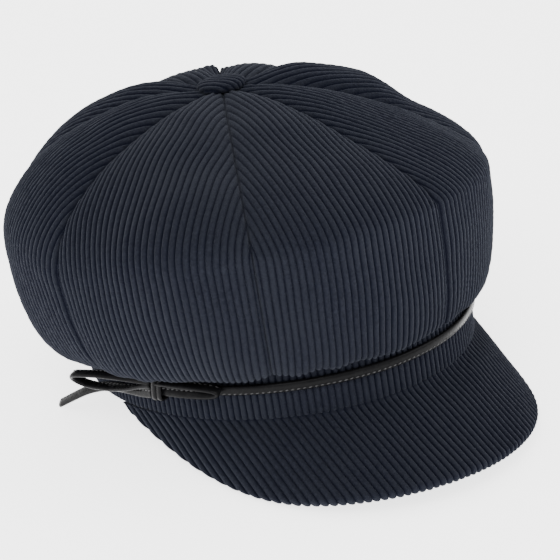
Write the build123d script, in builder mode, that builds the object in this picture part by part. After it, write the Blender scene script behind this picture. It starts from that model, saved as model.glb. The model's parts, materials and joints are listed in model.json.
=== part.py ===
"""Newsboy cap: an eight-panel corduroy crown on a band, a stiffened visor and a thin strap tied in a bow.

The cap is drawn in its own sewing frame: the band's lower edge lies in the plane z = 0, the wearer
looks along -Y, +X is the wearer's left and +Z goes up through the crown. Each piece is then set down
as it rests on a table, on the two corners of the visor and the back of the band.
"""
from build123d import *
from math import atan2, cos, degrees, pi, radians, sin, sqrt, tan
import os

os.makedirs("parts", exist_ok=True)

# ---- driving dimensions, mm and degrees ----
BAND_X = 85.5            # outer half width of the band
BAND_Y = 100.5           # outer half length of the band
BAND_HEIGHT = 26.0
CORDUROY = 1.8           # thickness of the wide-wale corduroy
INTERLINING = 0.8
SWEATBAND = 0.8
LINING = 0.5
PLAY = 0.3               # gap between pieces that move apart
SKIN_GAP = 0.1           # gap between sewn layers

BUTTON_X, BUTTON_Y = -2.0, 10.6     # the crown's centre, where the eight seams meet
SEAMS = (-27, 15, 58, 106.5, 153, 198.5, 242, 287.5)   # azimuths of the crown's seams, from the front
LIFTS = (5, 6, 8, 7.5, 6.5, 6, 6, 5)   # how far each panel bulges up beside the sunken centre
PUFF = 1.6               # how far each panel bulges out between its seams, lower down
BULGE = 0.8              # below 1, panels rise steeply from their seams and are flat in the middle
TOP_HOLE = 4.0           # radius left open at the crown's centre, under the button
CROWN_TOP = 120.2        # height of the crown's centre
CROWN_RADIUS = 109.4     # at its widest
CROWN_LONGER = 0.8       # added fore and aft, taken off at the sides
CROWN_SHIFT_X, CROWN_SHIFT_Y = -5.2, -1.5   # centre of the widest ring
SHOULDER_HEIGHT = 67.0   # height of the widest ring
SHOULDER_SLOPE_X, SHOULDER_SLOPE_Y = 0.005, -0.077
TOP_REACH = 0.216        # how far the flat top runs before it bends, as a part of the radius
TOP_RISE = 0.038         # the top rises a little from the sunken centre
SHOULDER_ROUND = 0.71    # fullness above the widest ring
SHOULDER_ROUND_X, SHOULDER_ROUND_Y = -0.21, 0.33   # more of it on the wearer's right and at the back
FULLEST = 1.0            # the most that this fullness comes to
UPPER_LIFT = 0.42        # part of a panel's lift that it keeps at the shoulder
UNDER_ROUND = 0.70       # roundness below it
UNDER_REACH = 0.55       # how far out the underside runs flat
UNDER_DROOP = 17.0       # pulls the underside down, so that it hangs over the band's top
LINING_DROOP = 6.0

VISOR_DEPTH = 46.6       # level distance from band to edge, at the centre
VISOR_DROP = 25.6        # slope of the visor at the centre
VISOR_DROP_SIDES = 8.0   # added to that slope at the ends
VISOR_TAPER = 0.1        # depth lost by the ends, as a part
VISOR_SQUARE = 10.0      # how square the visor's corners are
VISOR_CORNER = 2.35      # how round they are
VISOR_COVER = 1.5
VISOR_BOARD = 1.4
VISOR_INSET = 2.0        # the board stops this far inside the covers' edge
VISOR_STATIONS = (-87, -83, -76, -66, -54, -38, -19, 0, 19, 38, 54, 66, 76, 83, 87)

STRAP_Z = 15.0           # height of the strap's centre line
STRAP_WIDTH = 4.4
STRAP_THICK = 2.2
BOW_AZIMUTH = -68.0      # where the bow is tied, on the wearer's right
KNOT_WIDTH, KNOT_WALL = 4.6, 1.3
TACK_AZIMUTHS = (110, 180, 250)

BUTTON_RADIUS = 11.2
BUTTON_HEIGHT = 3.2
BUTTON_LIFT = 2.8        # height of the button's rim over the crown's centre


# ---- the crown's surface ----
PANEL_STATIONS = (0, 0.5, 1)     # places across a panel where its shape is drawn


def band_radius(azimuth, inset):
    """Distance from the button's axis to the band's outline, inset from its outside."""
    dx, dy = sin(radians(azimuth)), -cos(radians(azimuth))
    a, b = BAND_X - inset, BAND_Y - inset
    square = (dx / a) ** 2 + (dy / b) ** 2
    cross = BUTTON_X * dx / a**2 + BUTTON_Y * dy / b**2
    rest = (BUTTON_X / a) ** 2 + (BUTTON_Y / b) ** 2 - 1
    return (sqrt(cross**2 - square * rest) - cross) / square


def meridian(azimuth, bulge, inset, edge_inset, lift, droop):
    """Control points (radius, height) of the upper and the lower half of one line down the crown.

    bulge is how far the panel stands out from its seams there: outward and upward."""
    dx, dy = sin(radians(azimuth)), -cos(radians(azimuth))
    puff, rise = bulge
    full = min(SHOULDER_ROUND + SHOULDER_ROUND_X * dx + SHOULDER_ROUND_Y * dy, FULLEST)
    shift = (CROWN_SHIFT_X - BUTTON_X) * dx + (CROWN_SHIFT_Y - BUTTON_Y) * dy
    wide = CROWN_RADIUS + CROWN_LONGER * (dy**2 - dx**2) + shift
    shoulder = SHOULDER_HEIGHT + wide * (SHOULDER_SLOPE_X * dx + SHOULDER_SLOPE_Y * dy)
    radius = wide + puff - inset
    top = CROWN_TOP - inset
    edge = band_radius(azimuth, edge_inset)
    foot = BAND_HEIGHT + PLAY + lift
    upper = [
        (TOP_HOLE, top),
        (TOP_REACH * wide, top + TOP_RISE * wide + rise),
        (radius, shoulder + full * (top - shoulder) + UPPER_LIFT * rise),
        (radius, shoulder),
    ]
    lower = [
        (radius, shoulder),
        (radius, shoulder - UNDER_ROUND * (shoulder - foot)),
        (edge + UNDER_REACH * (radius - edge), foot - droop),
        (edge, foot),
    ]
    return upper, lower


def meridian_plane(azimuth):
    """The upright plane through the button's axis: local x runs outward, local y up."""
    out = (sin(radians(azimuth)), -cos(radians(azimuth)), 0)
    return Plane(origin=(BUTTON_X, BUTTON_Y, 0), x_dir=out, z_dir=(out[1], -out[0], 0))


def crown_shell(number, outside, inside):
    """One panel between two seams, a shell between two depths below the crown's surface."""
    start = SEAMS[number]
    width = (SEAMS[(number + 1) % len(SEAMS)] - start) % 360
    with BuildPart() as panel:
        for part in PANEL_STATIONS:
            azimuth = start + part * width
            swell = sin(pi * part) ** BULGE if 0 < part < 1 else 0
            bulge = (PUFF * swell, LIFTS[number] * swell)
            upper, lower = meridian(azimuth, bulge, *outside)
            upper_in, lower_in = meridian(azimuth, bulge, *inside)
            with BuildSketch(meridian_plane(azimuth)):
                with BuildLine():
                    Bezier(*upper)
                    Bezier(*lower)
                    Line(lower[-1], lower_in[-1])
                    Bezier(*reversed(lower_in))
                    Bezier(*reversed(upper_in))
                    Line(upper_in[0], upper[0])
                make_face()
        loft()
    return panel


# ---- the visor's surface ----
def visor_depth(azimuth):
    """Level distance from the band to the visor's edge."""
    side = abs(sin(radians(azimuth)))
    round_off = (1 - side**VISOR_SQUARE) ** (1 / VISOR_CORNER)
    return VISOR_DEPTH * (1 - VISOR_TAPER * side**2) * round_off


def visor_frame(azimuth):
    """Where the visor leaves the band at an azimuth: point, direction down the visor, its normal."""
    s, c = sin(radians(azimuth)), cos(radians(azimuth))
    drop = radians(VISOR_DROP + VISOR_DROP_SIDES * s * s)
    seam = Vector(BAND_X * s, -BAND_Y * c, -PLAY)
    down = Vector(0, -cos(drop), -sin(drop))
    along = Vector(BAND_X * c, BAND_Y * s, 0).normalized()
    normal = down.cross(along).normalized()
    normal = normal if normal.Z > 0 else -normal
    return seam, down, normal, drop


def visor_layer(top, thick, inset):
    """A layer of the visor, its upper face at depth top under the visor's surface."""
    with BuildPart() as layer:
        for azimuth in VISOR_STATIONS:
            seam, down, normal, drop = visor_frame(azimuth)
            length = visor_depth(azimuth) / cos(drop) - inset
            start = seam + down * PLAY
            with BuildSketch(Plane(origin=start, x_dir=down, z_dir=down.cross(normal))):
                with BuildLine():
                    Polyline((0, -top), (length, -top), (length, -top - thick), (0, -top - thick), close=True)
                make_face()
        loft()
    return layer


def ring(outer_inset, thick, low, high):
    """An oval tube whose outside is inset from the band's outside."""
    with BuildPart() as tube:
        with BuildSketch(Plane.XY.offset(low)):
            Ellipse(BAND_X - outer_inset, BAND_Y - outer_inset)
            Ellipse(BAND_X - outer_inset - thick, BAND_Y - outer_inset - thick, mode=Mode.SUBTRACT)
        extrude(amount=high - low)
    return tube


pieces = {}

# ---- crown: eight corduroy panels over eight lining panels ----
# each depth is: inset from the surface, inset of its foot from the band's outside, lift, droop
PANEL_FOOT = -0.4
PANEL_OUTSIDE = (0, PANEL_FOOT, 0, UNDER_DROOP)
PANEL_INSIDE = (CORDUROY, PANEL_FOOT, CORDUROY, UNDER_DROOP)
LINING_DEPTH = CORDUROY + 1.35
LINING_FOOT = 2.3
LINING_OUTSIDE = (LINING_DEPTH, LINING_FOOT, LINING_DEPTH, LINING_DROOP)
LINING_INSIDE = (LINING_DEPTH + LINING, LINING_FOOT, LINING_DEPTH + LINING, LINING_DROOP)
for number in range(len(SEAMS)):
    pieces[f"crown_panel_{number + 1}"] = crown_shell(number, PANEL_OUTSIDE, PANEL_INSIDE)
    pieces[f"lining_panel_{number + 1}"] = crown_shell(number, LINING_OUTSIDE, LINING_INSIDE)

# ---- button: a covered shell on a shank that goes through the crown to a washer inside ----
button_axis = Plane(origin=(BUTTON_X, BUTTON_Y, CROWN_TOP + BUTTON_LIFT))
COVER_WALL = 1.1
SHELL_WALL = 0.5
SHELL_RADIUS = BUTTON_RADIUS - COVER_WALL - SKIN_GAP
SHELL_HEIGHT = BUTTON_HEIGHT - COVER_WALL - SKIN_GAP
SHANK_RADIUS = 1.4
SHANK_HEAD = 0.6
WASHER_RADIUS, WASHER_THICK, WASHER_CHAMFER = 7.0, 1.0, 0.3
WASHER_DEPTH = 4.0       # below the lining
WASHER_Z = CROWN_TOP - CORDUROY - LINING - WASHER_DEPTH


def dome_profile(radius, height, base):
    """Half of a flattened dome's outline, from its rim up to the axis and back down it."""
    Spline((radius, base), (0.7 * radius, 0.86 * height), (0, height), tangents=((-0.15, 1), (-1, 0)))
    Polyline((0, height), (0, base), (radius, base))


with BuildPart() as button_cover:
    with BuildSketch(Plane(button_axis.origin, x_dir=(1, 0, 0), z_dir=(0, -1, 0))):
        with BuildLine():
            dome_profile(BUTTON_RADIUS, BUTTON_HEIGHT, 0)
        make_face()
        with BuildLine():
            dome_profile(SHELL_RADIUS + SKIN_GAP, SHELL_HEIGHT + SKIN_GAP, 0)
        make_face(mode=Mode.SUBTRACT)
    revolve(axis=Axis(button_axis.origin, (0, 0, 1)))
pieces["button_cover"] = button_cover

with BuildPart() as button_shell:
    with BuildSketch(Plane(button_axis.origin, x_dir=(1, 0, 0), z_dir=(0, -1, 0))):
        with BuildLine():
            dome_profile(SHELL_RADIUS, SHELL_HEIGHT, 0)
        make_face()
        with BuildLine():
            dome_profile(SHELL_RADIUS - SHELL_WALL, SHELL_HEIGHT - SHELL_WALL, 0)
        make_face(mode=Mode.SUBTRACT)
    revolve(axis=Axis(button_axis.origin, (0, 0, 1)))
pieces["button_shell"] = button_shell

with BuildPart() as button_shank:
    with BuildSketch(button_axis):
        Circle(SHELL_RADIUS - SHELL_WALL - PLAY)
    extrude(amount=SHANK_HEAD)
    with BuildSketch(button_axis):
        Circle(SHANK_RADIUS)
    extrude(amount=WASHER_Z - CROWN_TOP - BUTTON_LIFT)
pieces["button_shank"] = button_shank

with BuildPart() as button_washer:
    with BuildSketch(Plane(origin=(BUTTON_X, BUTTON_Y, WASHER_Z))):
        Circle(WASHER_RADIUS)
        Circle(SHANK_RADIUS, mode=Mode.SUBTRACT)
    extrude(amount=WASHER_THICK)
    chamfer(button_washer.faces().sort_by(Axis.Z)[0].outer_wire().edges(), WASHER_CHAMFER)
pieces["button_washer"] = button_washer

# ---- band: corduroy outside, interlining, sweatband against the head ----
BAND_FOLD = 0.6          # radius of the fold along the band's lower edge
SWEATBAND_RISE = 4.0     # the sweatband reaches above the band
band_outer = ring(0, CORDUROY, 0, BAND_HEIGHT)
band_interlining = ring(CORDUROY + SKIN_GAP, INTERLINING, 1, BAND_HEIGHT - 0.5)
sweatband = ring(CORDUROY + INTERLINING + 2 * SKIN_GAP, SWEATBAND, 0, BAND_HEIGHT + SWEATBAND_RISE)
fillet(band_outer.edges().group_by(Axis.Z)[0].sort_by(SortBy.LENGTH)[-1:], BAND_FOLD)
pieces["band_outer"] = band_outer
pieces["band_interlining"] = band_interlining
pieces["sweatband"] = sweatband

# ---- visor: a board between two corduroy covers ----
BOARD_DEPTH = VISOR_COVER + SKIN_GAP
UNDER_DEPTH = BOARD_DEPTH + VISOR_BOARD + SKIN_GAP
pieces["visor_top_cover"] = visor_layer(0, VISOR_COVER, 0)
pieces["visor_board"] = visor_layer(BOARD_DEPTH, VISOR_BOARD, VISOR_INSET)
pieces["visor_under_cover"] = visor_layer(UNDER_DEPTH, VISOR_COVER, 0)

# ---- strap: a folded strip round the whole band, tacked at the back and sides ----
STRAP_EDGE = 0.7         # radius of the strap's rounded edges
with BuildPart() as strap:
    with BuildSketch(Plane.XY.offset(STRAP_Z - STRAP_WIDTH / 2)):
        Ellipse(BAND_X + STRAP_THICK, BAND_Y + STRAP_THICK)
        Ellipse(BAND_X, BAND_Y, mode=Mode.SUBTRACT)
    extrude(amount=STRAP_WIDTH)
    outside = strap.edges().filter_by(GeomType.ELLIPSE).sort_by(SortBy.LENGTH)[-2:]
    fillet(outside, STRAP_EDGE)
pieces["strap"] = strap


def strap_plane(azimuth, out):
    """Upright plane on the strap: local x runs along the band toward the front, y up, z outward."""
    s, c = sin(radians(azimuth)), cos(radians(azimuth))
    along = Vector(BAND_X * c, BAND_Y * s, 0).normalized()
    outward = along.cross(Vector(0, 0, 1))
    middle = STRAP_THICK / 2 + out
    return Plane(Vector(BAND_X * s, -BAND_Y * c, STRAP_Z) + outward * middle, x_dir=along, z_dir=outward)


TACK_WIDTH, TACK_THREAD, TACK_REACH = 2.4, 0.7, 1.0    # reach: past the strap's edges, into the band
with BuildPart() as strap_tacks:
    for azimuth in TACK_AZIMUTHS:
        with BuildSketch(strap_plane(azimuth, STRAP_THICK / 2 + SKIN_GAP)):
            Rectangle(TACK_WIDTH, STRAP_WIDTH + 3 * TACK_REACH)
        extrude(amount=TACK_THREAD)
        with BuildSketch(strap_plane(azimuth, -STRAP_THICK / 2 + SKIN_GAP)):
            for side in (-1, 1):
                with Locations((0, side * (STRAP_WIDTH / 2 + TACK_REACH))):
                    Rectangle(TACK_WIDTH, TACK_REACH)
        extrude(amount=STRAP_THICK)
pieces["strap_tacks"] = strap_tacks

# ---- bow: a keeper over the strap, a flat loop toward the front, a loop and a cut end to the back ----
bow = strap_plane(BOW_AZIMUTH, 0)
KEEPER_TOP, KEEPER_BOTTOM = 5.0, -6.2
KEEPER_BACK, KEEPER_FRONT = -STRAP_THICK / 2 + SKIN_GAP, 5.7
KEEPER_CORNER = 2.5
with BuildPart() as bow_knot:
    with BuildSketch(Plane(bow.origin - bow.x_dir * KNOT_WIDTH / 2, x_dir=bow.z_dir, z_dir=bow.x_dir)):
        with BuildLine():
            start, end = KEEPER_FRONT - KEEPER_CORNER, KEEPER_FRONT
            Polyline((KEEPER_BACK, -KEEPER_TOP), (start, -KEEPER_TOP))
            RadiusArc((start, -KEEPER_TOP), (end, -KEEPER_TOP + KEEPER_CORNER), -KEEPER_CORNER)
            Line((end, -KEEPER_TOP + KEEPER_CORNER), (end, -KEEPER_BOTTOM - KEEPER_CORNER))
            RadiusArc((end, -KEEPER_BOTTOM - KEEPER_CORNER), (start, -KEEPER_BOTTOM), -KEEPER_CORNER)
            Polyline((start, -KEEPER_BOTTOM), (KEEPER_BACK, -KEEPER_BOTTOM), (KEEPER_BACK, -KEEPER_TOP))
        make_face()
        inside_front, inside_back = KEEPER_FRONT - KNOT_WALL, KEEPER_BACK - KNOT_WALL
        with Locations(((inside_back + inside_front) / 2, -(KEEPER_TOP + KEEPER_BOTTOM) / 2)):
            inside_height = KEEPER_TOP - KEEPER_BOTTOM - 2 * KNOT_WALL
            Rectangle(inside_front - inside_back, inside_height, mode=Mode.SUBTRACT)
    extrude(amount=KNOT_WIDTH)
pieces["bow_knot"] = bow_knot

FRONT_LOOP_LENGTH, FRONT_LOOP_HEIGHT = 27.0, 8.4
FRONT_LOOP_STRAND, FRONT_LOOP_THICK = 3.6, 2.0
FRONT_LOOP_TURN = 10.5   # its middle is this many degrees in front of the bow
FRONT_LOOP_UP, FRONT_LOOP_OUT = 0.6, 0.5
front_loop_place = strap_plane(BOW_AZIMUTH + FRONT_LOOP_TURN, STRAP_THICK / 2 + FRONT_LOOP_OUT)
with BuildPart() as bow_loop_front:
    with BuildSketch(front_loop_place):
        with Locations((0, FRONT_LOOP_UP)):
            SlotOverall(FRONT_LOOP_LENGTH, FRONT_LOOP_HEIGHT)
            inner = (FRONT_LOOP_LENGTH - 2 * FRONT_LOOP_STRAND, FRONT_LOOP_HEIGHT - 2 * FRONT_LOOP_STRAND)
            SlotOverall(*inner, mode=Mode.SUBTRACT)
    extrude(amount=FRONT_LOOP_THICK)
pieces["bow_loop_front"] = bow_loop_front

# routes in the bow's plane: along the band toward the front, up, outward
TUBE = 2.8
LOOP_ROUTE = [
    (-3.6, 2.3, 2.7), (-12, 3.2, 4.3), (-22, 3.8, 5.9), (-32, 3.6, 7.0), (-41, 2.8, 7.4), (-47.9, 1.9, 7.3),
    (-50.8, -1.8, 4.0), (-47.9, -5.5, 0.7), (-41, -5.9, 0.5), (-32, -5.4, 1.1), (-23, -4.0, 1.8),
    (-13, -2.3, 2.4), (-3.6, -0.6, 2.7),
]
TAIL_ROUTE = [
    (-3.6, -3.6, 2.7), (-11, -5.0, 1.3), (-22, -5.6, -1.2), (-36, -6.6, -3.2), (-50, -10.2, -4.0),
    (-62, -15.5, -4.5), (-74, -21.3, -5.0),
]


def corner_radii(points):
    """The largest arcs that the runs on both sides of each corner allow."""
    radii = []
    for before, corner, after in zip(points, points[1:], points[2:]):
        turn = radians((corner - before).get_angle(after - corner))
        shorter = min((corner - before).length, (after - corner).length)
        radii.append(0.45 * shorter / tan(turn / 2))
    return radii


def cord(route, name):
    points = [bow.from_local_coords(Vector(*point)) for point in route]
    with BuildPart() as tube:
        with BuildLine() as path:
            FilletPolyline(*points, radius=corner_radii(points))
        with BuildSketch(Plane(points[0], z_dir=points[1] - points[0])):
            Circle(TUBE / 2)
        sweep()
    print(name, "length", round(path.wires()[0].length, 1))
    return tube


pieces["bow_loop_back"] = cord(LOOP_ROUTE, "bow_loop_back")
pieces["bow_tail"] = cord(TAIL_ROUTE, "bow_tail")

# ---- set down on the table: tip the cap back until both visor corners and the band's back touch ----
lowest_layer = UNDER_DEPTH + VISOR_COVER
tip = 0.0
for azimuth in range(0, 88):
    seam, down, normal, drop = visor_frame(azimuth)
    corner = seam + down * (PLAY + visor_depth(azimuth) / cos(drop)) - normal * lowest_layer
    tip = max(tip, atan2(-corner.Z, BAND_Y - corner.Y))
tipped = Pos(0, 0, BAND_Y * sin(tip)) * Rot(X=-degrees(tip))

# ---- the origin: on the table, under the middle of the cap without the bow's loose ends ----
LOOSE_ENDS = ("bow_loop_back", "bow_tail")
boxes = [piece.part.moved(tipped).bounding_box() for name, piece in pieces.items() if name not in LOOSE_ENDS]
middle_x = (min(box.min.X for box in boxes) + max(box.max.X for box in boxes)) / 2
middle_y = (min(box.min.Y for box in boxes) + max(box.max.Y for box in boxes)) / 2
floor = min(box.min.Z for box in boxes)
resting = Pos(-middle_x, -middle_y, -floor) * tipped
print("tipped back", round(degrees(tip), 3), "degrees, band centre at", resting.position)

for name, piece in pieces.items():
    piece.part = piece.part.moved(resting)
    piece.part.label = name
    export_step(piece.part, f"parts/{name}.step")
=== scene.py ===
"""Newsboy cap: its fabric, strap and studio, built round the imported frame.

Shapes are worked out in the cap's sewing frame, in millimetres: the band's lower edge lies in z = 0,
the wearer looks along -Y and +Z goes up through the crown. place() sets them down in the row frame.
"""

import json
import math

import bpy
import numpy as np
from mathutils import Matrix, Vector


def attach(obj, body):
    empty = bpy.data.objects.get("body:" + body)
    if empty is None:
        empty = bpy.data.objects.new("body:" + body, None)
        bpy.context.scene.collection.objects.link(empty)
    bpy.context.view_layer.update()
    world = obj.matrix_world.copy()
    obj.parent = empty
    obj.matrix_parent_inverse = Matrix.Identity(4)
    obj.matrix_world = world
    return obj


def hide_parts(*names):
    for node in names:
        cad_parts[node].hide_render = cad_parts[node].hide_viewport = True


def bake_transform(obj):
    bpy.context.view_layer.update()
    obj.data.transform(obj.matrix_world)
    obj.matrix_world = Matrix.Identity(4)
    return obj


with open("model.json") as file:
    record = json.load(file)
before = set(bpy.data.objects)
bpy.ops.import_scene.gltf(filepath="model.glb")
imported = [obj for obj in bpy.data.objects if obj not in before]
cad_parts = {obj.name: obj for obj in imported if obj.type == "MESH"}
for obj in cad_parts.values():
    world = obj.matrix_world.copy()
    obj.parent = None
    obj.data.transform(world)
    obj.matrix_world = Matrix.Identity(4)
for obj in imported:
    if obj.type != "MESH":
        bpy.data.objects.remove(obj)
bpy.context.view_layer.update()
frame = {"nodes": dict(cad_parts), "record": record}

# ---- the sewing frame, from the head opening's mount ----
opening = next(m for m in frame["record"]["mounts"] if m["name"] == "head_opening")
cap_origin = np.array(opening["pos_m"])
cap_up = -np.array(opening["axis"])
cap_right = np.array([1.0, 0.0, 0.0])
cap_back = np.cross(cap_up, cap_right)
CAP_AXES = np.stack([cap_right, cap_back, cap_up], 1)
MM = 0.001


def place(points):
    """Sewing frame, mm, to row frame, metres."""
    return np.asarray(points) * MM @ CAP_AXES.T + cap_origin


# ---- the sizes that the frame was made with, mm and degrees ----
BAND_X, BAND_Y, BAND_HEIGHT = 85.5, 100.5, 26.0
BUTTON_X, BUTTON_Y = -2.0, 10.6
SEAMS = (-27, 15, 58, 106.5, 153, 198.5, 242, 287.5)
LIFTS = (5, 6, 8, 7.5, 6.5, 6, 6, 5)
PUFF, BULGE = 1.6, 0.8
TOP_HOLE, CROWN_TOP, CROWN_RADIUS, CROWN_LONGER = 4.0, 120.2, 109.4, 0.8
CROWN_SHIFT_X, CROWN_SHIFT_Y = -5.2, -1.5
SHOULDER_HEIGHT, SHOULDER_SLOPE_X, SHOULDER_SLOPE_Y = 67.0, 0.005, -0.077
TOP_REACH, TOP_RISE = 0.216, 0.038
SHOULDER_ROUND, SHOULDER_ROUND_X, SHOULDER_ROUND_Y, FULLEST = 0.71, -0.21, 0.33, 1.0
UPPER_LIFT, UNDER_ROUND, UNDER_REACH, UNDER_DROOP, LINING_DROOP = 0.42, 0.70, 0.55, 17.0, 6.0
PLAY = 0.3
VISOR_DEPTH, VISOR_DROP, VISOR_DROP_SIDES, VISOR_TAPER = 46.6, 25.6, 8.0, 0.1
VISOR_SQUARE, VISOR_CORNER, VISOR_END = 10.0, 2.35, 87.0
STRAP_Z, STRAP_THICK, BOW_AZIMUTH = 15.0, 2.2, -68.0
BUTTON_RADIUS, BUTTON_HEIGHT, BUTTON_LIFT = 11.2, 3.2, 2.8

# ---- how the cloth differs from the frame's plain panels ----
FULLER = (0, 0, 6, 1.5, 0, 2, 2.5, 2)   # how much more each panel bulges at its upper bend
FULLER_END = (1, 1, 0.6, 1, 1, 0.95, 0.95, 0.95)    # how far down that reaches, 1 at the shoulder
LUMP_PANEL, LUMP_AZIMUTH, LUMP_T = 4, 156.5, 0.36   # a tuft of cloth behind the button
LUMP_RADIUS, LUMP_HEIGHT = 6.5, 4.5

# ---- the corduroy ----
WALE = 3.0              # from groove to groove
WALE_HEIGHT = 1.1
WALE_WIDTH = 0.93       # part of WALE that the raised wale takes up
WALE_STEPS = np.array([0.0, 0.05, 0.13, 0.27, 0.5, 0.73, 0.87, 0.95])   # a wale's columns
SEAM_OVERLAP = 0.15     # how far the panels' edges run into each other, so that the seams stay shut

# ---- other layers and the thread, mm ----
LINING_INSET, LINING_THICK = 4.6, 0.5
VISOR_THICK, BOARD_THICK = 4.2, 0.8
STRIP_WIDTH = 4.4       # of the folded leather strip
STITCH_PITCH, STITCH_LENGTH, STITCH_RADIUS = 2.5, 1.7, 0.27
STITCH_ACROSS = -0.62   # the stitched groove's place across the strip
TACK_AZIMUTHS = (110, 180, 250)
TACK_STRANDS, TACK_THREAD = 5, 0.3
BUTTON_WALES = 30.0     # azimuth that the button's wales point to


def bezier(p0, p1, p2, p3, t):
    """One coordinate of a cubic Bezier curve."""
    return (1 - t) ** 3 * p0 + 3 * t * (1 - t) ** 2 * p1 + 3 * t**2 * (1 - t) * p2 + t**3 * p3


def smooth(x, low, high):
    """0 at low, 1 at high, with an S-shaped step between them."""
    t = np.clip((x - low) / (high - low), 0, 1)
    return t * t * (3 - 2 * t)


def waves(places, seed, count=6, longest=1.0, shortest=0.3):
    """A soft uneven field of about -1 to 1 over places of one to three coordinates, from a few waves."""
    rng = np.random.default_rng(seed)
    total = 0
    for _ in range(count):
        heading = rng.normal(size=places.shape[-1])
        heading = heading / np.linalg.norm(heading) / rng.uniform(shortest, longest)
        total = total + np.sin(2 * np.pi * (places @ heading + rng.uniform()))
    return total / count**0.5


def flat(*coordinates):
    """Coordinates of any matching shapes as one array of places."""
    return np.stack(np.broadcast_arrays(*coordinates), -1)


def wale_profile(position):
    """Height across the wales, 0 in a groove and 1 on top, for a position counted in wales."""
    across = 2 * np.abs(position - np.floor(position) - 0.5) / WALE_WIDTH
    return np.clip(1 - across**2, 0, 1) ** 0.65


def wale_columns(low, high, phase):
    """Positions across the cloth, mm, that follow the wales between two edges."""
    first, last = math.floor(low / WALE - phase) - 1, math.ceil(high / WALE - phase) + 1
    steps = (np.arange(first, last)[:, None] + WALE_STEPS[None]).ravel()
    columns = (steps + phase) * WALE
    inside = columns[(columns > low + 0.05) & (columns < high - 0.05)]
    return np.concatenate([[low], inside, [high]])


# ---- meshes ----
def make_object(name, vertices, faces, hard=0):
    """An object from vertices in the sewing frame; the last `hard` faces are left flat."""
    mesh = bpy.data.meshes.new(name)
    mesh.from_pydata(place(vertices).tolist(), [], faces)
    shades = np.ones(len(faces), bool)
    if hard:
        shades[-hard:] = False
    mesh.polygons.foreach_set("use_smooth", shades)
    mesh.update()
    thing = bpy.data.objects.new(name, mesh)
    bpy.context.scene.collection.objects.link(thing)
    return thing


def set_attribute(thing, name, values):
    attribute = thing.data.attributes.new(name, "FLOAT", "POINT")
    attribute.data.foreach_set("value", np.asarray(values, np.float32).ravel())


def grid_faces(rows, columns, start=0, flip=False, wrap=False):
    """Quads of a grid of vertices, numbered by rows from start; wrap joins its last column to its first."""
    index = start + np.arange(rows * columns).reshape(rows, columns)
    if wrap:
        index = np.concatenate([index, index[:, :1]], 1)
    quads = np.stack([index[:-1, :-1], index[:-1, 1:], index[1:, 1:], index[1:, :-1]], -1).reshape(-1, 4)
    return quads[:, ::-1] if flip else quads


def closed(loop):
    """A loop of rows with its first one repeated at the end."""
    return np.append(loop, loop[:1], axis=0)


def rim_faces(outer, inner):
    """Quads between two loops of vertex numbers."""
    return np.stack([outer[:-1], outer[1:], inner[1:], inner[:-1]], -1)


def shell(name, outside, inside, heights=None, wrap=False):
    """A closed sheet from two grids of points, joined round their edges.

    Columns run to the right and rows down, seen from outside."""
    rows, columns = outside.shape[:2]
    count = rows * columns
    index = np.arange(count).reshape(rows, columns)
    if wrap:
        top, bottom = closed(index[0]), closed(index[-1])[::-1]
        rims = np.concatenate([rim_faces(top, top + count), rim_faces(bottom, bottom + count)])
    else:
        loop = closed(np.concatenate([index[0, :-1], index[:-1, -1], index[-1, :0:-1], index[:0:-1, 0]]))
        rims = rim_faces(loop, loop + count)
    faces = np.concatenate([
        grid_faces(rows, columns, 0, True, wrap), grid_faces(rows, columns, count, False, wrap), rims,
    ])
    vertices = np.concatenate([outside.reshape(-1, 3), inside.reshape(-1, 3)])
    thing = make_object(name, vertices, faces.tolist(), hard=len(rims))
    if heights is not None:
        # the wale heights are also the mask for the corduroy's painted shade in its grooves
        set_attribute(thing, "wale", np.concatenate([heights.ravel(), np.zeros(count)]))
    return thing


def tube(name, rings, ends=True):
    """A solid from rings of points, either closed by flat ends or joined end to end."""
    rows, columns = rings.shape[:2]
    faces = grid_faces(rows, columns, 0, True, True).tolist()
    if ends:
        faces += [list(range(columns)), list(range((rows - 1) * columns, rows * columns))[::-1]]
    else:
        last = (rows - 1) * columns + np.arange(columns)
        join = rim_faces(closed(last), closed(np.arange(columns)))
        faces += join.tolist()
    return make_object(name, rings.reshape(-1, 3), faces, hard=2 if ends else 0)


def threads(name, strands):
    """One object of many short closed strands, each from rings of points."""
    rows, columns = strands[0].shape[:2]
    faces = []
    for number in range(len(strands)):
        start = number * rows * columns
        last = start + (rows - 1) * columns
        faces += grid_faces(rows, columns, start, False, True).tolist()
        faces += [list(range(start, start + columns))[::-1], list(range(last, last + columns))]
    return make_object(name, np.concatenate([strand.reshape(-1, 3) for strand in strands]), faces)


def unit(vectors):
    return vectors / np.maximum(np.linalg.norm(vectors, axis=-1, keepdims=True), 1e-9)


def lengths_along(line):
    """Distance along a line of points, from its start to each of them."""
    return np.concatenate([[0], np.cumsum(np.linalg.norm(np.diff(line, axis=0), axis=1))])


def grid_normals(points):
    """Unit normals of a grid of points whose columns run to the right and rows down, seen from outside."""
    across = np.gradient(points, axis=1)
    down = np.gradient(points, axis=0)
    return unit(np.cross(down, across))


# ---- the crown ----
def band_radius(azimuth, inset):
    """Distance from the button's axis to the band's outline, inset from its outside."""
    dx, dy = np.sin(azimuth), -np.cos(azimuth)
    a, b = BAND_X - inset, BAND_Y - inset
    square = (dx / a) ** 2 + (dy / b) ** 2
    cross = BUTTON_X * dx / a**2 + BUTTON_Y * dy / b**2
    rest = (BUTTON_X / a) ** 2 + (BUTTON_Y / b) ** 2 - 1
    return (np.sqrt(cross**2 - square * rest) - cross) / square


def panel_span(number):
    """Azimuth of the middle of a panel and half its angle, radians."""
    width = (SEAMS[(number + 1) % len(SEAMS)] - SEAMS[number]) % 360
    return math.radians(SEAMS[number] + width / 2), math.radians(width / 2)


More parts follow.
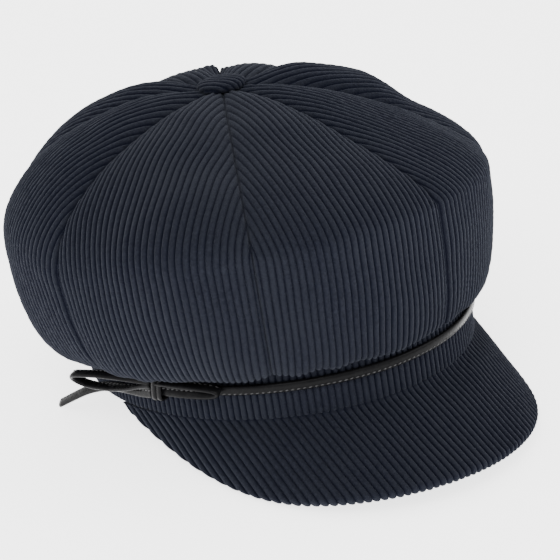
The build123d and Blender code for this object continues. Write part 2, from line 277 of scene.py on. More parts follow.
def crown_point(
    number, azimuth, t, swollen=1.0, inset=0.0, foot_inset=-0.4, lift=0.0, droop=UNDER_DROOP,
):
    """A point of a panel: azimuth in radians, t from 0 at the button over 1 at the shoulder to 2.

    swollen is how much of the panel's own bulge counts; with none of it the panels join smoothly."""
    dx, dy = np.sin(azimuth), -np.cos(azimuth)
    middle, half = panel_span(number)
    share = np.clip((azimuth - middle) / half, -1, 1)
    swell = swollen * np.clip(np.cos(np.pi / 2 * share), 0, 1) ** BULGE
    puff, rise = PUFF * swell, LIFTS[number] * swell
    full = np.minimum(SHOULDER_ROUND + SHOULDER_ROUND_X * dx + SHOULDER_ROUND_Y * dy, FULLEST)
    shift = (CROWN_SHIFT_X - BUTTON_X) * dx + (CROWN_SHIFT_Y - BUTTON_Y) * dy
    wide = CROWN_RADIUS + CROWN_LONGER * (dy**2 - dx**2) + shift
    shoulder = SHOULDER_HEIGHT + wide * (SHOULDER_SLOPE_X * dx + SHOULDER_SLOPE_Y * dy)
    radius = wide + puff - inset
    top = CROWN_TOP - inset
    edge = band_radius(azimuth, foot_inset)
    foot = BAND_HEIGHT + PLAY + lift
    u, v = np.clip(t, 0, 1), np.clip(t - 1, 0, 1)
    r_up = bezier(TOP_HOLE, TOP_REACH * wide, radius, radius, u)
    z_up = bezier(
        top, top + TOP_RISE * wide + rise,
        shoulder + full * (top - shoulder) + UPPER_LIFT * rise, shoulder, u,
    )
    r_down = bezier(radius, radius, edge + UNDER_REACH * (radius - edge), edge, v)
    z_down = bezier(shoulder, shoulder - UNDER_ROUND * (shoulder - foot), foot - droop, foot, v)
    r, z = np.where(t <= 1, r_up, r_down), np.where(t <= 1, z_up, z_down)
    return np.stack([BUTTON_X + r * dx, BUTTON_Y + r * dy, z], -1)


def crown_normal(number, azimuth, t, swollen=1.0):
    """Unit normals of the crown's surface, from points a small step away on each side."""
    step = 0.002
    right_point = crown_point(number, azimuth + step, t, swollen)
    left_point = crown_point(number, azimuth - step, t, swollen)
    lower_point = crown_point(number, azimuth, np.minimum(t + step, 2), swollen)
    upper_point = crown_point(number, azimuth, np.maximum(t - step, 0), swollen)
    return unit(np.cross(lower_point - upper_point, right_point - left_point))


def panel_grid(number, phase, rows):
    """Points down a panel on lines parallel to its middle, cut off by its seams, as cloth is.

    Returns the places of these lines across the cloth, then for all points their azimuth, their t and
    the distance to the nearest seam."""
    middle, half_angle = panel_span(number)
    t_line = np.linspace(0, 2, 801)
    line = crown_point(number, middle + 0 * t_line, t_line)
    radius = np.hypot(line[:, 0] - BUTTON_X, line[:, 1] - BUTTON_Y)
    down = lengths_along(line)
    shoulder = 400
    half = half_angle * np.where(t_line <= 1, radius, radius[shoulder])
    closing = np.interp(down[shoulder] - np.arange(6, 31, 3), down, half)
    columns_u = wale_columns(-half[shoulder], half[shoulder], phase)
    columns_u = np.unique(np.concatenate([columns_u, closing, -closing]))
    start = np.interp(np.abs(columns_u), half[: shoulder + 1], down[: shoulder + 1])
    s = np.linspace(0, 1, rows)[:, None] ** 1.25
    along = start[None] + (down[-1] - start[None]) * s
    t = np.interp(along, down, t_line)
    width = np.interp(along, down, half)
    azimuth = middle + np.clip(columns_u[None] / width, -1, 1) * half_angle
    to_seam = (half_angle - np.abs(azimuth - middle)) * np.interp(along, down, radius)
    return columns_u, azimuth, t, to_seam



def crown_panel(number):
    middle, half_angle = panel_span(number)
    columns, azimuth, t, to_seam = panel_grid(number, 0.5, 112)
    ground = crown_point(number, azimuth, t, 0.0)
    radius = np.hypot(ground[..., 0] - BUTTON_X, ground[..., 1] - BUTTON_Y)
    sway = 0.4 * waves(ground, 10, 5, 70, 25) * smooth(to_seam, 0, 9)
    spill = SEAM_OVERLAP * (to_seam < 0.02) * np.sign(azimuth - middle)
    azimuth = azimuth + (sway + spill) / radius
    base = crown_point(number, azimuth, t)
    ground = crown_point(number, azimuth, t, 0.0)
    own = smooth(to_seam, 0, 7)[..., None]
    own_normal = crown_normal(number, azimuth, t)
    shared_normal = crown_normal(number, azimuth, t, 0.0)
    normal = unit(own_normal * own + shared_normal * (1 - own))
    soft = 0.9 * np.tanh(waves(ground, 3, 8, 95, 40)) + 0.2 * np.tanh(waves(ground, 4, 8, 34, 18))
    share = np.clip((azimuth - middle) / half_angle, -1, 1)
    end = FULLER_END[number]
    fuller = FULLER[number] * np.clip(np.cos(np.pi / 2 * share), 0, 1) ** 0.7
    fuller = fuller * smooth(t, 0.12, 0.35) * smooth(t, end + 0.07, end - 0.1)
    lump = crown_point(LUMP_PANEL, math.radians(LUMP_AZIMUTH), np.array(LUMP_T), 0.0)
    fuller = fuller + LUMP_HEIGHT * np.exp(-np.sum((ground - lump) ** 2, -1) / LUMP_RADIUS**2)
    gather = 0.8 * np.sin(24 * azimuth + 2 * waves(ground, 5, 4, 60, 30)) * smooth(t, 1.5, 1.95)
    settle = smooth(t, 0.02, 0.25) * smooth(t, 2.0, 1.9)
    seam = -0.9 * np.exp(-to_seam / 0.9) - 0.5 * np.exp(-((to_seam / 5) ** 2))
    height = wale_profile(columns[None] / WALE - 0.5) + 0 * t
    # rib also goes to the wale attribute, so the seams, where it falls to 0, get the grooves' painted shade
    rib = height * smooth(to_seam, -0.3, 0.9)
    pile = 0.09 * waves(ground, 21, 12, 4.5, 1.8)
    shaped = fuller + (soft + gather) * settle + seam * smooth(t, 0.03, 0.1)
    front = base + normal * (shaped + WALE_HEIGHT * (rib - 0.75) + pile * rib)[..., None]
    back = base + normal * (np.maximum(shaped, -1.8) - WALE_HEIGHT - 0.9)[..., None]
    panel = shell(f"crown_panel_{number + 1}_cloth", front, back, rib)
    return finish_piece(panel, corduroy, "root", "corduroy", f"crown_panel_{number + 1}")


def lining_panel(number):
    middle, half_angle = panel_span(number)
    t = np.linspace(0, 2, 70)[:, None]
    azimuth = middle + np.linspace(-1, 1, 41)[None] * half_angle
    azimuth, t = np.broadcast_arrays(azimuth, t)
    base = crown_point(
        number, azimuth, t, inset=LINING_INSET, foot_inset=2.3, lift=3.2, droop=LINING_DROOP,
    )
    normal = grid_normals(base)
    pucker = 0.35 * waves(base, 31, 8, 30, 8) * smooth(t, 0.05, 0.3) * smooth(t, 2, 1.8)
    face = base + normal * pucker[..., None]
    panel = shell(f"lining_panel_{number + 1}_cloth", face, face - normal * LINING_THICK)
    return finish_piece(panel, lining, "root", "lining", f"lining_panel_{number + 1}")


def finish_piece(thing, material, body, slot, *replaced):
    """Gives a piece its material and body, and hides the CAD nodes that it stands in for. slot is not used.
    """
    thing.data.materials.append(material)
    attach(thing, body)
    if replaced:
        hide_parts(*replaced)
    return thing


# ---- materials ----
def new_material(name, color, roughness):
    material = bpy.data.materials.new(name)
    material.use_nodes = True
    shader = material.node_tree.nodes["Principled BSDF"]
    shader.inputs["Base Color"].default_value = (*color, 1)
    shader.inputs["Roughness"].default_value = roughness
    return material, material.node_tree, shader


def add_noise(tree, scale, detail):
    noise = tree.nodes.new("ShaderNodeTexNoise")
    noise.inputs["Scale"].default_value = scale
    noise.inputs["Detail"].default_value = detail
    coordinates = tree.nodes.new("ShaderNodeTexCoord").outputs["Object"]
    tree.links.new(coordinates, noise.inputs["Vector"])
    return noise.outputs["Fac"]


def add_mix(tree, factor, low, high):
    """A colour between two, each a tuple or another node's output."""
    mix = tree.nodes.new("ShaderNodeMix")
    mix.data_type = "RGBA"
    for socket, value in ((mix.inputs[6], low), (mix.inputs[7], high)):
        if isinstance(value, tuple):
            socket.default_value = (*value, 1)
        else:
            tree.links.new(value, socket)
    tree.links.new(factor, mix.inputs[0])
    return mix.outputs[2]


def add_range(tree, value, low, high, to_low, to_high):
    scale = tree.nodes.new("ShaderNodeMapRange")
    for socket, number in zip(scale.inputs[1:5], (low, high, to_low, to_high)):
        socket.default_value = number
    tree.links.new(value, scale.inputs[0])
    return scale.outputs[0]


def add_bump(tree, shader, height, strength, distance):
    bump = tree.nodes.new("ShaderNodeBump")
    bump.inputs["Strength"].default_value = strength
    bump.inputs["Distance"].default_value = distance
    tree.links.new(height, bump.inputs["Height"])
    tree.links.new(bump.outputs["Normal"], shader.inputs["Normal"])


def corduroy_material():
    material, tree, shader = new_material("corduroy", (0.01, 0.012, 0.018), 0.95)
    shader.inputs["Specular IOR Level"].default_value = 0.05
    shader.inputs["Sheen Weight"].default_value = 0.06
    shader.inputs["Sheen Roughness"].default_value = 0.5
    shader.inputs["Sheen Tint"].default_value = (0.75, 0.8, 0.95, 1)
    wale = tree.nodes.new("ShaderNodeAttribute")
    wale.attribute_name = "wale"
    worn = add_noise(tree, 28, 4)
    pile = add_noise(tree, 900, 3)
    tufts = add_range(tree, pile, 0.3, 0.7, 0, 1)
    rib = add_mix(tree, tufts, (0.0052, 0.006, 0.0098), (0.0125, 0.014, 0.021))
    rib = add_mix(tree, add_range(tree, worn, 0.35, 0.7, 0, 1), rib, (0.0115, 0.013, 0.0185))
    uneven = tree.nodes.new("ShaderNodeMath")
    uneven.operation = "ADD"
    tree.links.new(wale.outputs["Fac"], uneven.inputs[0])
    tree.links.new(add_range(tree, add_noise(tree, 500, 4), 0.2, 0.8, -0.22, 0.22), uneven.inputs[1])
    # painted shade in the grooves: where the wale attribute is low the base colour darkens to the groove
    # colour, in the grooves and where the wales fade out at seams and turned edges
    depth = add_range(tree, uneven.outputs[0], 0.35, 0.95, 0, 1)
    tree.links.new(add_mix(tree, depth, (0.0028, 0.0036, 0.0085), rib), shader.inputs["Base Color"])
    add_bump(tree, shader, add_noise(tree, 1300, 4), 0.85, 0.0006)
    return material


def leather_material():
    material, tree, shader = new_material("faux_leather", (0.004, 0.004, 0.0045), 0.28)
    shader.inputs["Specular IOR Level"].default_value = 0.045
    wear = add_noise(tree, 220, 4)
    tree.links.new(add_range(tree, wear, 0.3, 0.7, 0.16, 0.34), shader.inputs["Roughness"])
    color = add_mix(tree, wear, (0.003, 0.003, 0.0035), (0.007, 0.007, 0.0075))
    tree.links.new(color, shader.inputs["Base Color"])
    add_bump(tree, shader, add_noise(tree, 700, 5), 0.35, 0.0003)
    return material


def cloth_material(name, dark, light, scale, roughness=0.8):
    """Plain or twill cloth: two crossing sets of yarns."""
    material, tree, shader = new_material(name, light, roughness)
    shader.inputs["Sheen Weight"].default_value = 0.15
    coordinates = tree.nodes.new("ShaderNodeTexCoord").outputs["Object"]
    yarn = tree.nodes.new("ShaderNodeTexWave")
    yarn.inputs["Scale"].default_value = scale
    yarn.inputs["Distortion"].default_value = 1.5
    yarn.bands_direction = "DIAGONAL"
    tree.links.new(coordinates, yarn.inputs["Vector"])
    tree.links.new(add_mix(tree, yarn.outputs["Fac"], dark, light), shader.inputs["Base Color"])
    add_bump(tree, shader, yarn.outputs["Fac"], 0.4, 0.0002)
    return material


def plain_material(name, dark, light, roughness, metallic=0.0, scale=300):
    material, tree, shader = new_material(name, light, roughness)
    shader.inputs["Metallic"].default_value = metallic
    cloud = add_noise(tree, scale, 4)
    tree.links.new(add_mix(tree, cloud, dark, light), shader.inputs["Base Color"])
    add_bump(tree, shader, cloud, 0.2, 0.0002)
    return material


corduroy = corduroy_material()
leather = leather_material()
lining = cloth_material("lining", (0.012, 0.013, 0.020), (0.028, 0.030, 0.044), 420, 0.45)
twill = cloth_material("sweatband", (0.010, 0.011, 0.016), (0.024, 0.026, 0.036), 300)
buckram = cloth_material("interlining", (0.45, 0.45, 0.42), (0.62, 0.62, 0.58), 500)
thread = cloth_material("thread", (0.008, 0.008, 0.009), (0.035, 0.035, 0.038), 900, 0.6)
board = plain_material("board", (0.68, 0.68, 0.64), (0.78, 0.78, 0.75), 0.6)
tin = plain_material("button_metal", (0.5, 0.5, 0.5), (0.62, 0.62, 0.62), 0.35, 1.0)
nylon = plain_material("button_plastic", (0.02, 0.02, 0.02), (0.04, 0.04, 0.04), 0.5)

# ---- crown ----
for number in range(len(SEAMS)):
    crown_panel(number)
    lining_panel(number)


# ---- band ----
def oval(azimuth, out, z):
    """A point on the band's oval: azimuth in radians from the front, out from the band's outside."""
    s, c = np.sin(azimuth), np.cos(azimuth)
    normal = np.stack([s / BAND_X, -c / BAND_Y, 0 * s], -1)
    normal = normal / np.linalg.norm(normal, axis=-1, keepdims=True)
    point = np.stack([BAND_X * s, -BAND_Y * c, 0 * s], -1) + normal * np.asarray(out)[..., None]
    return point + np.stack([0 * s, 0 * s, np.asarray(z) + 0 * s], -1)


turn = np.linspace(-np.pi, np.pi, 4001)
turn_length = lengths_along(oval(turn, 0 * turn, 0))
BAND_GIRTH = turn_length[-1]


def around(distance):
    """Azimuth at a distance round the band, from the back."""
    return np.interp(distance, turn_length, turn)


def band():
    wales = round(BAND_GIRTH / WALE)
    steps = (np.arange(wales)[:, None] + WALE_STEPS[None]).ravel()
    azimuth = around(steps / wales * BAND_GIRTH)
    outline = [(-0.9, 26.2), (-0.15, 25.6), (0.0, 24.5)]
    outline += [(0.0, z) for z in np.linspace(23, 1.5, 16)]
    outline += [(-0.15, 0.6), (-0.7, 0.05), (-1.4, 0.2), (-1.6, 1.2)]
    out = np.array([point[0] for point in outline])[:, None] + 0 * azimuth
    z = np.array([point[1] for point in outline])[:, None] + 0 * azimuth
    azimuth, _ = np.broadcast_arrays(azimuth, z)
    height = wale_profile(steps)[None] + 0 * z
    fade = smooth(out, -1.7, -0.4)
    under_strap = 1 - 0.6 * np.exp(-(((z - STRAP_Z) / 2.4) ** 4))
    pile = 0.05 * waves(flat(steps[None] * WALE, z), 22, 8, 4.5, 1.8)
    front = oval(azimuth, out + (WALE_HEIGHT * (height - 0.7) + pile) * fade * under_strap, z)
    back = oval(azimuth, np.minimum(out, -0.2) * 0.5 - WALE_HEIGHT * 0.7 - 0.9, np.clip(z, 0.9, 25.8))
    # height * fade also goes to the wale attribute, so the edges that turn in get the grooves' painted
    # shade
    cloth = shell("band_cloth", front, back, height * fade, wrap=True)
    finish_piece(cloth, corduroy, "root", "corduroy", "band_outer")


def sweatband():
    azimuth = around(np.linspace(0, 1, 481)[:-1] * BAND_GIRTH)
    outline = [(-2.85, 0.3), (-2.95, 0.05), (-3.4, 0.0), (-3.65, 0.4)]
    outline += [(-3.65, z) for z in np.linspace(1.5, 28.5, 12)]
    outline += [(-3.55, 29.6), (-3.2, 30.0), (-2.9, 29.6)]
    out = np.array([point[0] for point in outline])[:, None] + 0 * azimuth
    z = np.array([point[1] for point in outline])[:, None] + 0 * azimuth
    azimuth, _ = np.broadcast_arrays(azimuth, z)
    ease = 0.18 * waves(oval(azimuth, 0 * z, z), 41, 6, 45, 18)
    face = oval(azimuth, out + ease * smooth(out, -3.0, -3.5), z)
    back = oval(azimuth, 0 * out - 2.95 + 0.1 * (out + 3.2), np.clip(z, 0.4, 29.5))
    cloth = shell("sweatband_cloth", back, face, wrap=True)
    finish_piece(cloth, twill, "root", "sweatband", "sweatband")


band()
sweatband()

# ---- visor ----
visor_turn = np.radians(np.linspace(-VISOR_END, VISOR_END, 2001))


def visor_frame(azimuth):
    """The visor's seam points, directions down its slope, upward normals and lengths, for azimuths."""
    s, c = np.sin(azimuth), np.cos(azimuth)
    drop = np.radians(VISOR_DROP + VISOR_DROP_SIDES * s * s)
    zero = 0 * s
    seam = np.stack([BAND_X * s, -BAND_Y * c, zero - PLAY], -1)
    down = np.stack([zero, -np.cos(drop), -np.sin(drop)], -1)
    along = np.stack([BAND_X * c, BAND_Y * s, zero], -1)
    normal = np.cross(along, down)
    normal = normal / np.linalg.norm(normal, axis=-1, keepdims=True)
    normal = normal * np.sign(normal[..., 2:])
    depth = VISOR_DEPTH * (1 - VISOR_TAPER * s**2) * (1 - np.abs(s) ** VISOR_SQUARE) ** (1 / VISOR_CORNER)
    return seam, down, normal, depth / np.cos(drop)


seam_line, down_line, _, _ = visor_frame(visor_turn)
seam_step = np.diff(seam_line, axis=0)
seam_along = np.sum(seam_step * down_line[1:], axis=1, keepdims=True) * down_line[1:]
across_line = np.concatenate([[0], np.cumsum(np.linalg.norm(seam_step - seam_along, axis=1))])
across_line -= across_line[-1] / 2


def visor_layer(name, node, rows, phase, fade, material=None):
    """A layer of the visor from rows of (share of its flat length, distance past that, depth, facing).

    facing is the angle that the cloth's outside has turned from the visor's upper side, and fade is how
    much of the wales each row shows."""
    columns = wale_columns(across_line[0], across_line[-1], phase)
    azimuth = np.interp(columns, across_line, visor_turn)
    seam, down, normal, length = visor_frame(azimuth)
    share, past, deep, facing = (np.array(rows)[:, k][:, None] for k in range(4))
    outward = normal[None] * np.cos(facing)[..., None] + down[None] * np.sin(facing)[..., None]
    reach = PLAY + share * (length[None] - VISOR_THICK / 2) + past
    tuck = unit(seam * [1 / BAND_X**2, 1 / BAND_Y**2, 0])
    base = seam[None] + down[None] * np.maximum(reach, 0)[..., None] - normal[None] * deep[..., None]
    base = base + tuck[None] * np.minimum(reach, 0)[..., None]
    height = wale_profile(columns / WALE - phase)[None] + 0 * share
    fade = np.asarray(fade)[:, None]
    soft = 0.35 * waves(flat(columns[None], reach), 51, 6, 60, 25) * smooth(share, 0, 0.25)
    soft = soft * np.cos(facing)
    pile = 0.05 * waves(flat(columns[None], reach), 23, 8, 4.5, 1.8)
    lifted = (WALE_HEIGHT * (height - 0.75) + pile) * fade + soft
    front = base + outward * lifted[..., None]
    thick = BOARD_THICK if material else WALE_HEIGHT * 0.75 + 0.7
    back = base + outward * (soft - thick)[..., None]
    # height * fade also goes to the wale attribute, so rows with little fade get the grooves' painted shade
    cloth = shell(name, front, back, height * fade)
    cloth.data.materials.append(material or corduroy)
    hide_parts(node)
    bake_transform(cloth)


def visor():
    half = VISOR_THICK / 2
    top = [(0.0, -1.9, -1.8, 0), (0.0, -1.2, -0.9, 0), (0.0, -0.4, -0.45, 0), (0.0, 0.6, -0.2, 0)]
    top += [(share, 0.0, 0.0, 0) for share in np.linspace(0.05, 0.97, 26)]
    top += [(1.0, half * math.sin(a), half - half * math.cos(a), a) for a in np.linspace(0, np.pi, 9)]
    top += [(1.0, -1.2, VISOR_THICK - 0.05, np.pi), (1.0, -1.8, VISOR_THICK - 0.5, np.pi)]
    fade = np.ones(len(top))
    fade[:3], fade[-2:] = (0.3, 0.5, 0.8), (0.6, 0.1)
    visor_layer("visor_top_cloth", "visor_top_cover", top, 0.5, fade)
    under = [(1.0, -2.0, VISOR_THICK - 0.7, np.pi), (1.0, -2.6, VISOR_THICK - 0.1, np.pi)]
    under += [(share, 0.0, VISOR_THICK, np.pi) for share in np.linspace(0.9, 0.08, 18)]
    under += [(0.0, 0.9, VISOR_THICK - 0.2, np.pi), (0.0, 0.0, VISOR_THICK - 1.2, np.pi)]
    fade = np.ones(len(under))
    fade[0], fade[-1] = 0.1, 0.3
    visor_layer("visor_under_cloth", "visor_under_cover", under, 0.1, fade)
    stiff = [(share, 0.6 - 1.8 * share, 1.7, 0) for share in np.linspace(0, 1, 26)]
    visor_layer("visor_stiffener", "visor_board", stiff, 0.5, np.zeros(len(stiff)), board)


visor()


# ---- the folded leather strip ----
def strip_half_thickness(x):
    """Half the strip's thickness at a place across it, from -1 at its stitched edge to 1 at its fold."""
    fullness = 0.74 + 0.26 * smooth(x, -0.8, 0.3)
    groove = 0.13 * np.exp(-(((x - STITCH_ACROSS) / 0.13) ** 2))
    return STRAP_THICK / 2 * (np.sqrt(np.clip(1 - np.abs(x) ** 4, 0, 1)) * fullness - groove)


def strip_rings(centre, wide, out):
    """Rings of points of a strip: wide points to its fold and out to its face."""
    x = np.cos(np.linspace(0, np.pi, 17))
    half = strip_half_thickness(x)
    half[[0, -1]] = 0.0
    front = np.stack([x, half], -1)
    back = np.stack([x[-2:0:-1], -half[-2:0:-1] * 0.9], -1)
    section = np.concatenate([front, back])
    ring = section[None, :, :1] * wide[:, None] * STRIP_WIDTH / 2 + section[None, :, 1:] * out[:, None]
    return centre[:, None] + ring


def row_at(distance, rows, place_along):
    """The row of coordinates at a place along a line, between the rows that are given."""
    return np.array([np.interp(place_along, distance, rows[:, k]) for k in range(3)])


def stitches(name, centre, wide, out):
    """A row of stitches lying in the strip's groove."""
    distance = lengths_along(centre)
    number = int(distance[-1] / STITCH_PITCH)
    middles = (np.arange(number) + 0.5) * distance[-1] / number
    lift = strip_half_thickness(np.array([STITCH_ACROSS]))[0] + 0.08
    line = centre + wide * STITCH_ACROSS * STRIP_WIDTH / 2 + out * lift
    lengths = np.linspace(-1, 1, 7)
    around_thread = np.linspace(0, 2 * np.pi, 7)[:-1]
    radius = STITCH_RADIUS * np.sqrt(1 - 0.93 * lengths**2)
    sink = -0.25 * lengths**2
    rings = []
    for middle in middles:
        side, up = row_at(distance, wide, middle), row_at(distance, out, middle)
        ahead = row_at(distance, line, middle + 0.3) - row_at(distance, line, middle - 0.3)
        ahead = ahead / np.linalg.norm(ahead) + 0.16 * side
        spine = row_at(distance, line, middle)
        spine = spine + ahead * (lengths * STITCH_LENGTH / 2)[:, None] + up * sink[:, None]
        turned = np.cos(around_thread)[None, :, None] * side + np.sin(around_thread)[None, :, None] * up
        rings.append(spine[:, None] + turned * radius[:, None, None])
    return threads(name, rings)


def strap():
    azimuth = around(np.linspace(0, 1, 721)[:-1] * BAND_GIRTH)
    ground = oval(azimuth, 0 * azimuth, STRAP_Z)
    wave = 0.22 * waves(ground, 61, 5, 120, 50)
    ease = 0.12 * waves(ground, 62, 5, 60, 25)
    centre = oval(azimuth, STRAP_THICK / 2 + 0.05 + ease, STRAP_Z + wave)
    out = oval(azimuth, 1.0 + 0 * azimuth, 0) - oval(azimuth, 0 * azimuth, 0)
    up = np.broadcast_to([0.0, 0.0, 1.0], centre.shape)
    lean = 0.10 * waves(ground, 63, 5, 90, 35)[:, None]
    wide, face = up + lean * out, out - lean * up
    ring = tube("strap_leather", strip_rings(centre, wide, face), ends=False)
    finish_piece(ring, leather, "root", "faux_leather", "strap")
    thing = stitches("strap_stitching", closed(centre), closed(wide), closed(face))
    finish_piece(thing, thread, "root", "thread")


strap()

# ---- the bow, in its own plane: along the band toward the front, up, outward ----
bow_s, bow_c = math.sin(math.radians(BOW_AZIMUTH)), math.cos(math.radians(BOW_AZIMUTH))
bow_along = np.array([BAND_X * bow_c, BAND_Y * bow_s, 0])
bow_along /= np.linalg.norm(bow_along)
BOW_AXES = np.stack([bow_along, [0, 0, 1], np.cross(bow_along, [0, 0, 1])], 0)
bow_middle = np.array([BAND_X * bow_s, -BAND_Y * bow_c, STRAP_Z]) + BOW_AXES[2] * STRAP_THICK / 2


def in_bow(points):
    """The bow's plane to the sewing frame."""
    return np.asarray(points) @ BOW_AXES + bow_middle


LOOP_ROUTE = [
    (-3.6, 2.3, 2.7), (-12, 3.2, 4.3), (-22, 3.8, 5.9), (-32, 3.6, 7.0), (-41, 2.8, 7.4), (-47.9, 1.9, 7.3),
    (-50.8, -1.8, 4.0), (-47.9, -5.5, 0.7), (-41, -5.9, 0.5), (-32, -5.4, 1.1), (-23, -4.0, 1.8),
    (-13, -2.3, 2.4), (-3.6, -0.6, 2.7),
]
TAIL_ROUTE = [
    (-3.6, -3.6, 2.7), (-11, -5.0, 1.3), (-22, -5.6, -1.2), (-36, -6.6, -3.2), (-50, -10.2, -4.0),
    (-62, -15.5, -4.5), (-74, -21.3, -5.0),
]


SAME_PLACE = 1e-6       # metres; points of a line closer than this are one


def smooth_line(route):
    """Points along the NURBS spline of a route in the bow's plane; metres, in the row frame."""
    curve = bpy.data.curves.new("route", "CURVE")
    curve.dimensions = "3D"
    spline = curve.splines.new("NURBS")
    points = place(in_bow(route))
    spline.points.add(len(points) - 1)
    for control, point in zip(spline.points, points):
        control.co = (*point, 1)
    spline.order_u = 3
    spline.use_endpoint_u = True
    spline.resolution_u = 12
    thing = bpy.data.objects.new("route", curve)
    mesh = bpy.data.meshes.new_from_object(thing)
    line = np.array([vertex.co for vertex in mesh.vertices], float)
    bpy.data.objects.remove(thing)
    bpy.data.curves.remove(curve)
    bpy.data.meshes.remove(mesh)
    return line


def bow_strip(name, route, turns, body, node):
    """A strip along a route, its fold side turned by angles at places along it.

    turns holds (share of the length, degrees): the fold points down at 0 and outward at 90."""
    line = smooth_line(route)
    apart = np.linalg.norm(np.diff(line, axis=0), axis=1) > SAME_PLACE
    line = line[np.concatenate([[True], apart])]
    sewn = (line - cap_origin) @ CAP_AXES / MM
    distance = lengths_along(sewn)
    shares, degrees = zip(*turns)
    angle = np.radians(np.interp(distance / distance[-1], shares, degrees))
    kernel = np.hanning(9) / np.hanning(9).sum()
    angle = np.convolve(np.pad(angle, 4, "edge"), kernel, "valid")[:, None]
    ahead = unit(np.gradient(sewn, axis=0))
    wide = -BOW_AXES[1] * np.cos(angle) + BOW_AXES[2] * np.sin(angle)
    wide = unit(wide - ahead * np.sum(wide * ahead, 1, keepdims=True))
    out = np.cross(wide, ahead)
    thing = tube(name, strip_rings(sewn, wide, out))
    finish_piece(thing, leather, body, "faux_leather", node)
    for side, sign in (("front", 1), ("back", -1)):
        row = stitches(f"{name}_stitching_{side}", sewn, wide, out * sign)
        finish_piece(row, thread, body, "thread")


bow_strip(
    "bow_loop_back_leather", LOOP_ROUTE, [(0, 0), (0.12, 30), (0.3, 66), (0.7, 66), (0.85, 80), (1, 170)],
    "bow_loop", "bow_loop_back",
)
bow_strip(
    "bow_tail_leather", TAIL_ROUTE, [(0, 0), (0.3, 20), (1, 40)],
    "bow_tail", "bow_tail",
)
FRONT_ROUTE = [
    (0.5, 2.6, 3.4), (7, 3.0, 3.9), (15, 3.1, 3.4), (24, 2.6, 1.6), (31, 1.6, -0.6), (33, 0.2, -1.2),
    (30, -0.9, -0.6), (22, -1.2, 1.1), (12, -1.3, 2.5), (0.5, -1.4, 3.0),
]
bow_strip(
    "bow_loop_front_leather", FRONT_ROUTE, [(0, 70), (0.3, 66), (0.5, 60), (0.7, 20), (1, 5)],
    "root", "bow_loop_front",
)


def knot():
    """The strip wrapped twice round the bow's middle, leaning a little."""
    turn = np.linspace(0, 2 * np.pi, 73)[:-1]
    corner, lean = 0.55, 0.16
    for number, (shift, size) in enumerate(((0.1, 1.0), (3.0, 0.97))):
        across = np.sign(np.sin(turn)) * np.abs(np.sin(turn)) ** corner
        tall = np.sign(np.cos(turn)) * np.abs(np.cos(turn)) ** corner
        up = -0.6 + 5.0 * tall * size
        outward = 2.3 + 2.75 * across * size
        along = shift + lean * up
        centre = in_bow(np.stack([along, up, outward], -1))
        ahead = unit(np.roll(centre, -1, 0) - np.roll(centre, 1, 0))
        wide = unit(np.broadcast_to(BOW_AXES[0] + lean * BOW_AXES[1], centre.shape))
        wide = unit(wide - ahead * np.sum(wide * ahead, 1, keepdims=True))
        out = np.cross(ahead, wide)
        rings = strip_rings(centre, wide * 0.66, out * 0.62)
        ring = tube(f"bow_knot_wrap_{number + 1}", rings, ends=False)
        finish_piece(ring, leather, "root", "faux_leather", *(["bow_knot"] if number == 0 else []))


knot()


def tacks():
    """Thread bars that hold the strap to the band."""
    strands = []
    height = np.linspace(-1, 1, 15)
    roll = np.linspace(0, 2 * np.pi, 9)[:-1][None, :, None]
    for azimuth in TACK_AZIMUTHS:
        for strand in range(TACK_STRANDS):
            angle = math.radians(azimuth) + (strand - 2) * 0.5 / 93 + 0 * height
            out = 0.3 + (STRAP_THICK + 0.35) * np.clip(1 - np.abs(height) ** 5, 0, 1) ** 0.4
            spine = oval(angle, out, STRAP_Z + height * (STRAP_THICK + 0.9))
            side = oval(angle + 0.01, out, 0) - oval(angle, out, 0)
            side = unit(side * [1, 1, 0])
            ahead = unit(np.gradient(spine, axis=0))
            face = np.cross(side, ahead)
            ring = np.cos(roll) * side[:, None] + np.sin(roll) * face[:, None]
            strands.append(spine[:, None] + TACK_THREAD * ring)
    bars = threads("strap_tack_threads", strands)
    finish_piece(bars, thread, "root", "thread", "strap_tacks")


tacks()

# ---- the button ----
def button():
    """The covered button: a dome whose edge turns under."""
    turn = np.linspace(0, 2 * np.pi, 241)[:-1]
    profile_x = np.concatenate([np.linspace(0.02, 1, 34) ** 0.9, [1.0, 0.985, 0.95, 0.9]])
    rise = np.sqrt(np.clip(1 - profile_x[:34] ** 3, 0, 1)) * BUTTON_HEIGHT
    profile_z = np.concatenate([rise, [-0.7, -1.3, -1.7, -1.5]])
    r = profile_x[:, None] * BUTTON_RADIUS + 0 * turn
    z = profile_z[:, None] + 0 * turn
    base = np.stack([r * np.sin(turn), -r * np.cos(turn), z], -1)
    base = base + [BUTTON_X, BUTTON_Y, CROWN_TOP + BUTTON_LIFT]
    down = lengths_along(np.stack([profile_x * BUTTON_RADIUS, profile_z], -1))
    bearing = turn - math.radians(BUTTON_WALES)
    across = down[:, None] * np.sin(bearing)
    height = wale_profile(across / WALE)
    closed_base = np.concatenate([base[:, -1:], base, base[:, :1]], 1)
    normal = grid_normals(closed_base)[:, 1:-1]
    fade = smooth(np.arange(len(profile_x)), len(profile_x) - 1, len(profile_x) - 5)[:, None]
    front = base + normal * (WALE_HEIGHT * 0.8 * (height - 0.8) * fade)[..., None]
    dome = tube("button_cloth", front)
    # height * fade is the wale attribute, so the edge that turns under gets the grooves' painted shade
    set_attribute(dome, "wale", height * fade)
    finish_piece(dome, corduroy, "root", "corduroy", "button_cover")


button()

# ---- hidden pieces that stay as they were made ----
for node, material in (
    ("button_shell", tin), ("button_shank", nylon), ("button_washer", tin), ("band_interlining", buckram),
):
    thing = frame["nodes"][node]
    thing.data.materials.clear()
    thing.data.materials.append(material)

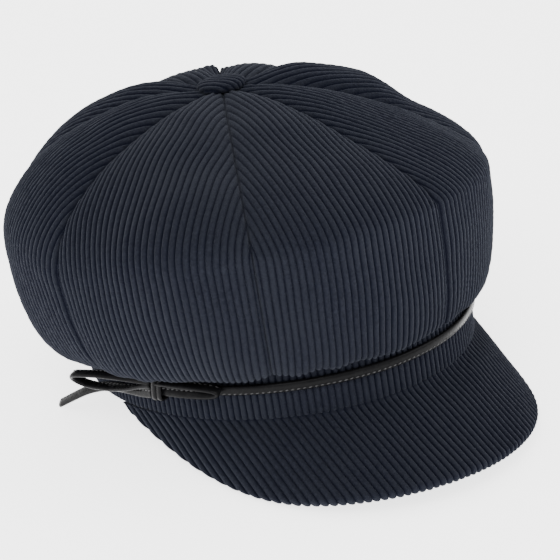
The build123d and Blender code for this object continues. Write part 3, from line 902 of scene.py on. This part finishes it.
# ---- camera, floor and light ----
CAMERA_AZIMUTH, CAMERA_ELEVATION, CAMERA_ROLL = map(math.radians, (-27.565, 17.238, 9.601))
CAMERA_DISTANCE, CAMERA_TARGET = 976.0, np.array([0, 0, 51.25])
AIM_RIGHT, AIM_UP = 8.1, -19.85      # from the target to the middle of the view
FOCAL = 136.9

back = np.array([
    math.sin(CAMERA_AZIMUTH) * math.cos(CAMERA_ELEVATION),
    -math.cos(CAMERA_AZIMUTH) * math.cos(CAMERA_ELEVATION), math.sin(CAMERA_ELEVATION),
])
right = np.array([math.cos(CAMERA_AZIMUTH), math.sin(CAMERA_AZIMUTH), 0])
up = np.cross(back, right)
rolled_right = math.cos(CAMERA_ROLL) * right - math.sin(CAMERA_ROLL) * up
rolled_up = math.sin(CAMERA_ROLL) * right + math.cos(CAMERA_ROLL) * up
eye = CAMERA_TARGET + CAMERA_DISTANCE * back
aim = CAMERA_TARGET + AIM_RIGHT * rolled_right + AIM_UP * rolled_up
view_back = unit(CAP_AXES @ (eye - aim))
view_right = unit(np.cross(CAP_AXES @ rolled_up, view_back))
view_up = np.cross(view_back, view_right)
camera = bpy.data.objects.new("camera", bpy.data.cameras.new("camera"))
camera.data.sensor_width = 36
camera.data.lens = FOCAL
camera.matrix_world = Matrix.Translation(Vector(place(eye))) @ Matrix(
    np.stack([view_right, view_up, view_back], 1).tolist()
).to_4x4()
camera.data.clip_start = 0.01
bpy.context.scene.collection.objects.link(camera)
bpy.context.scene.camera = camera


def area_light(name, position, size, power):
    light = bpy.data.lights.new(name, "AREA")
    light.shape = "DISK"
    light.size, light.energy = size, power
    thing = bpy.data.objects.new(name, light)
    thing.location = position
    thing.rotation_euler = (Vector((0, 0, 0.06)) - Vector(position)).to_track_quat("-Z", "Y").to_euler()
    bpy.context.scene.collection.objects.link(thing)


area_light("key", (-0.75, -0.75, 1.25), 0.9, 14)
area_light("fill", (1.1, -0.7, 0.8), 1.0, 7)
area_light("rear", (0.2, 1.2, 1.1), 1.0, 8)

world = bpy.data.worlds.new("studio")
world.use_nodes = True
world.node_tree.nodes["Background"].inputs["Color"].default_value = (1, 1, 1, 1)
world.node_tree.nodes["Background"].inputs["Strength"].default_value = 1.45
bpy.context.scene.world = world

floor_material = plain_material("floor", (0.92, 0.92, 0.92), (0.95, 0.95, 0.95), 0.9, scale=3)
floor_shader = floor_material.node_tree.nodes["Principled BSDF"]
floor_shader.inputs["Emission Color"].default_value = (1, 1, 1, 1)
floor_shader.inputs["Emission Strength"].default_value = 2.6
floor_mesh = bpy.data.meshes.new("floor")
floor_mesh.from_pydata([(-6, -6, 0), (6, -6, 0), (6, 6, 0), (-6, 6, 0)], [], [(0, 1, 2, 3)])
floor = bpy.data.objects.new("floor", floor_mesh)
floor_mesh.materials.append(floor_material)
bpy.context.scene.collection.objects.link(floor)
